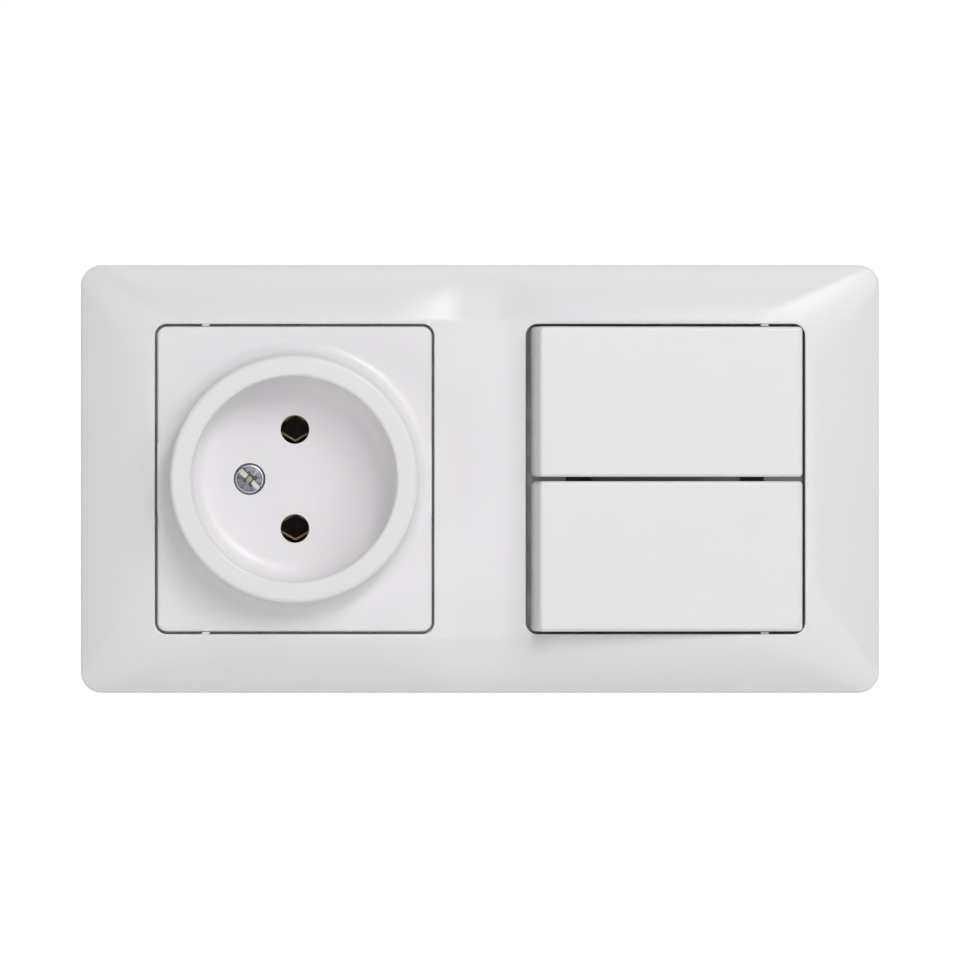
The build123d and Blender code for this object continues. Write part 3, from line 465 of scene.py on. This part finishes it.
def straightRun(start, end, away, count):
    # points of a straight line, all with one direction away
    share = np.linspace(0, 1, count, endpoint=False)[:, None]
    return np.array(start) + share * (np.array(end) - np.array(start)), np.tile(away, (count, 1))


def joinRuns(*runs):
    return [np.concatenate(part) for part in zip(*runs)]


def outerLoop(look):
    # right half of the outline, clockwise from the top of the middle, then back up the middle line
    half, top = frameHalf
    corner, inset = look["corner"], look["middleInset"]
    many, few, side = look["topColumns"], look["cornerColumns"], look["sideColumns"]
    return joinRuns(
        straightRun((0, top), (half - corner, top), (0, 1), many),
        cornerArc((half - corner, top - corner), corner, 90, 0, few),
        straightRun((half, top - corner), (half, corner - top), (1, 0), side),
        cornerArc((half - corner, corner - top), corner, 0, -90, few),
        straightRun((half - corner, -top), (0, -top), (0, -1), many),
        straightRun((0, -top), (0, -top), (0, -1), 1),
        straightRun((0, inset - top), (0, top - inset), (0, 0), side - 1),
    )


def windowLoop(look):
    # right window, clockwise from its upper left corner, with as many points as the outer loop;
    # away points into the frame
    middle, radius = look["pitch"] / 2, look["windowCorner"]
    width, height = look["windowWidth"] / 2, look["windowHeight"] / 2
    left, right, high = middle - width + radius, middle + width - radius, height - radius
    many, few, side = look["topColumns"], look["cornerColumns"], look["sideColumns"]
    part = few // 2
    return joinRuns(
        cornerArc((left, high), radius, 135, 90, part),
        straightRun((left, height), (right, height), (0, 1), many - part),
        cornerArc((right, high), radius, 90, 0, few),
        straightRun((right + radius, high), (right + radius, -high), (1, 0), side),
        cornerArc((right, -high), radius, 0, -90, few),
        straightRun((right, -height), (left, -height), (0, -1), many - part),
        cornerArc((left, -high), radius, -90, -135, part),
        cornerArc((left, -high), radius, -135, -180, part),
        straightRun((left - radius, -high), (left - radius, high), (-1, 0), side - few),
        cornerArc((left, high), radius, 180, 135, part),
    )


def frameRows(look):
    # rows of the half frame's skin as (plan points, levels, is it part of the outer wall): inner wall,
    # back edge, outer wall, rounded rim, crowned face, rounded window edge, window wall, foot, back, ceiling
    (outer, outAway), (window, winAway) = outerLoop(look), windowLoop(look)
    wall, foot, back = look["wall"], look["windowFoot"], look["windowWall"]
    rimRound, edge = look["rimRound"], look["windowRound"]
    rows = []

    def add(plan, level, ofWall=False):
        rows.append((plan, np.broadcast_to(level, len(plan)), ofWall))

    def inset(reach):
        return outer - reach * outAway

    def outset(reach):
        return window + reach * winAway

    def face(plan):
        return faceLevel(plan[:, 0], plan[:, 1], look)

    def ceiling(plan):
        return ceilingLevel(plan[:, 0], plan[:, 1], look)

    ceilingFoot = ceiling(inset(wall))
    for share in (0, 0.5, 1):
        add(inset(wall), ceilingFoot * (1 - share), True)
    bend = np.radians(np.linspace(0, look["rimTurn"], look["rimRows"]))
    rimInset = rimRound * (1 - np.cos(bend))
    rimTop = face(inset(rimInset[-1]))
    for share in (0, 0.5):
        add(inset(0), share * (rimTop - rimRound), True)
    for reach, angle in zip(rimInset[:-1], bend[:-1]):
        add(inset(reach), rimTop - rimRound * (np.sin(bend[-1]) - np.sin(angle)), True)
    for share in np.linspace(0, 1, look["faceRows"]):
        plan = inset(rimInset[-1]) * (1 - share) + outset(edge) * share
        add(plan, face(plan))
    lip = face(outset(edge))
    for angle in np.radians(np.linspace(0, 90, look["windowRows"] + 1)[1:]):
        add(outset(edge * (1 - np.sin(angle))), lip - edge * (1 - np.cos(angle)))
    for share in (0.5, 1):
        add(window, (lip - edge) * (1 - share) + foot * share)
    rimBack = ceiling(outset(back))
    for share in (0, 0.5, 1):
        add(outset(back), foot * (1 - share) + rimBack * share)
    for share in np.linspace(0, 1, look["ceilingRows"])[1:]:
        plan = outset(back) * (1 - share) + inset(wall) * share
        add(plan, ceiling(plan))
    return rows


def barPoints(x, width, z, low, high):
    # rectangle (width, low to high) carried along z
    one = np.ones_like(z)
    corners = [(x - width / 2, low), (x + width / 2, low), (x + width / 2, high), (x - width / 2, high)]
    lines = [np.stack([one * across, -one * level, z], axis=-1) for across, level in corners]
    return np.stack(lines, axis=1)


def ribBar(x, z, look):
    # rib from the windows' foot up into the ceiling, as far as the ceiling lies above that foot
    high = ceilingLevel(np.full_like(z, x), z, look) + look["sink"]
    inside = high > look["windowFoot"] + look["sink"]
    return barPoints(x, look["ribWall"], z[inside], look["windowFoot"], high[inside])


def frameBars(look):
    # one rib down the middle, two over and under each window, and the nibs in the windows
    top = frameHalf[1] - look["wall"]
    reach = look["windowHeight"] / 2
    behind = reach + look["windowWall"] / 2
    upper = []
    for side in (-1, 1):
        for shift in (-1, 1):
            x = side * look["pitch"] / 2 + shift * look["ribOffset"]
            upper.append(ribBar(x, np.linspace(behind, top, look["ribRows"]), look))
    for x in look["nibPlaces"]:
        z = np.array([reach - look["nibReach"], behind])
        upper.append(barPoints(x, look["nibWidth"], z, look["nibLow"], look["nibHigh"]))
    middle = ribBar(0.0, np.linspace(-top, top, look["middleRibRows"]), look)
    return [middle] + upper + [bar * (1, 1, -1) for bar in upper]


def makeFrameShell(look):
    # skin of the right half as a grid of rows and columns, its mirror image for the left half, and the bars;
    # columns on the middle line carry no outer wall
    plans, levels, ofWall = zip(*frameRows(look))
    plan, level = np.stack(plans), np.stack(levels)
    points = np.stack([plan[..., 0], -level, plan[..., 1]], axis=-1).reshape(-1, 3)
    grid = np.arange(level.size).reshape(level.shape)
    below = np.roll(grid, -1, axis=0)
    quads = np.stack([grid, below, np.roll(below, -1, axis=1), np.roll(grid, -1, axis=1)], axis=-1)
    onMiddle = plan[0, :, 0] < meshLook["merge"]
    skipped = np.array(ofWall)[:, None] & onMiddle & np.roll(onMiddle, -1)
    quads = quads[~skipped]
    verts = [points, points * (-1, 1, 1)]
    faces = np.concatenate([quads, quads[:, ::-1] + level.size]).tolist()
    for bar in frameBars(look):
        total = sum(map(len, verts))
        corners, sides = tubeFaces(bar)
        verts.append(corners)
        faces += [[index + total for index in side] for side in sides]
    addPiece("frameShell", np.concatenate(verts), faces, "whitePlastic", "frame", "white_plastic")


makeFrameShell(frameLook)

# springs behind the switch's pins, in millimetres; front is how far they reach before the key's pivot
springLook = dict(wire=0.5, turns=6, radius=1.7, height=5.3, front=1.9, rows=288, columns=12)


def makeSpring(key, look):
    # round wire carried along a helix about the pin's line:
    # centre = pivot + (foot + height * share) * line + radius * outward
    joints = {joint["name"]: joint for joint in frame["joints"]}
    slide = joints[key + "_pin_slide"]
    line = np.array(slide["axis"])
    pivot = np.array(joints[key + "_key_rock"]["pos_m"]) / mm
    up = np.array([0.0, 0.0, 1.0])
    across = np.cross(line, up)
    share = np.linspace(0, 1, look["rows"])[:, None]
    turn = 2 * np.pi * look["turns"] * share
    outward = np.cos(turn) * across + np.sin(turn) * up
    forward = np.cos(turn) * up - np.sin(turn) * across
    along = 2 * np.pi * look["turns"] * look["radius"] * forward + look["height"] * line
    aside = np.cross(along / np.linalg.norm(along, axis=1, keepdims=True), outward)
    foot = look["front"] - look["wire"] / 2 - look["height"]
    centre = pivot + (foot + look["height"] * share) * line + look["radius"] * outward
    ring = np.linspace(0, 2 * np.pi, look["columns"], endpoint=False)[None, :, None]
    around = np.cos(ring) * outward[:, None] + np.sin(ring) * aside[:, None]
    points = centre[:, None] + look["wire"] / 2 * around
    wire = tubeFaces(points)
    piece = addPiece(key + "Spring", *wire, "springWire", key + "_spring", "zinc_steel", body=key + "_key")
    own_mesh(piece)


for key in ("upper", "lower"):
    makeSpring(key, springLook)


def addSeen(tree):
    # 1 for rays from the camera, off gloss and through glass, else 0
    rays = tree.nodes.new("ShaderNodeLightPath")
    total = rays.outputs["Is Camera Ray"]
    for label in ("Is Glossy Ray", "Is Transmission Ray"):
        step = tree.nodes.new("ShaderNodeMath")
        step.operation = "MAXIMUM"
        tree.links.new(total, step.inputs[0])
        tree.links.new(rays.outputs[label], step.inputs[1])
        total = step.outputs[0]
    return total


# pale floor well below the frame, in metres; glow lifts it to the white of the surroundings
floorLook = dict(level=-0.12, reach=6.0, tint=(0.86, 0.86, 0.86, 1), roughness=0.9, glow=0.76)


def makeFloor(look):
    mesh = bpy.data.meshes.new("floor")
    r, z = look["reach"], look["level"]
    mesh.from_pydata([(-r, -r, z), (r, -r, z), (r, r, z), (-r, r, z)], [], [(0, 1, 2, 3)])
    floor = bpy.data.objects.new("floor", mesh)
    scene.collection.objects.link(floor)
    floor.visible_shadow = False  # the low lamps shine through it
    paint = bpy.data.materials.new("floorPaint")
    paint.use_nodes = True
    tree = paint.node_tree
    shader = tree.nodes["Principled BSDF"]
    shader.inputs["Base Color"].default_value = look["tint"]
    shader.inputs["Roughness"].default_value = look["roughness"]
    shader.inputs["Emission Color"].default_value = (1, 1, 1, 1)
    glow = tree.nodes.new("ShaderNodeMath")
    glow.operation = "MULTIPLY"
    glow.inputs[1].default_value = look["glow"]
    tree.links.new(addSeen(tree), glow.inputs[0])
    tree.links.new(glow.outputs[0], shader.inputs["Emission Strength"])
    mesh.materials.append(paint)


makeFloor(floorLook)

# soft light from the right and a little above, a narrow lamp high in front and fill all round:
# places and sizes in metres, power in watts, roll in degrees; every lamp looks at the middle of the frame
lampLook = {
    "keyLamp": dict(place=(0.73, -1.18, 0.80), size=(0.75, 0.75), power=3.2, roll=0.0),
    "highLamp": dict(place=(0.325, -1.27, 0.61), size=(0.2, 0.62), power=5.0, roll=-35.0),
    "frontLamp": dict(place=(0.22, -2.19, 0.0), size=(1.2, 1.2), power=3.0, roll=0.0),
    "lowLamp": dict(place=(0.49, -1.22, -0.73), size=(0.6, 0.6), power=1.35, roll=0.0),
    "leftLamp": dict(place=(-1.10, -0.915, -0.457), size=(0.6, 0.6), power=2.8, roll=0.0),
    "rightLamp": dict(place=(0.93, -1.09, 0.44), size=(0.5, 0.5), power=1.9, roll=0.0),
    "topLamp": dict(place=(0.07, -0.73, 1.31), size=(0.5, 0.5), power=1.7, roll=0.0),
}


def addLamp(name, look):
    lamp = bpy.data.lights.new(name, "AREA")
    lamp.shape = "RECTANGLE"
    lamp.size, lamp.size_y = look["size"]
    lamp.energy = look["power"]
    stand = bpy.data.objects.new(name, lamp)
    scene.collection.objects.link(stand)
    stand.location = look["place"]
    aim = (-Vector(look["place"])).to_track_quat("-Z", "Y")
    stand.rotation_euler = (aim @ Quaternion((0, 0, 1), radians(look["roll"]))).to_euler()


for name, look in lampLook.items():
    addLamp(name, look)

# pale surroundings: white where they are seen, weaker as light
worldLook = dict(ambient=0.2, seen=1.0)


def makeWorld(look):
    world = bpy.data.worlds.new("paleRoom")
    world.use_nodes = True
    tree = world.node_tree
    back = tree.nodes["Background"]
    back.inputs["Color"].default_value = (1, 1, 1, 1)
    span = tree.nodes.new("ShaderNodeMapRange")
    span.inputs["To Min"].default_value = look["ambient"]
    span.inputs["To Max"].default_value = look["seen"]
    tree.links.new(addSeen(tree), span.inputs["Value"])
    tree.links.new(span.outputs["Result"], back.inputs["Strength"])
    scene.world = world


makeWorld(worldLook)

# long lens straight at the front: metres, with the sensor in millimetres;
# width is what it sees across at the focus, a plane just before the wall
cameraLook = dict(distance=2.5, focus=-0.0092, width=0.18377, height=-0.00019, sensor=36.0, clip=(0.1, 50.0))


def addCamera(look):
    lens = bpy.data.cameras.new("photoView")
    lens.sensor_width = look["sensor"]
    lens.lens = look["sensor"] * look["distance"] / look["width"]
    lens.clip_start, lens.clip_end = look["clip"]
    camera = bpy.data.objects.new("photoView", lens)
    scene.collection.objects.link(camera)
    camera.location = (0, look["focus"] - look["distance"], look["height"])
    camera.rotation_euler = (radians(90), 0, 0)
    scene.camera = camera


addCamera(cameraLook)
scene.view_settings.view_transform = "Standard"
print("stage, lamps and camera placed")
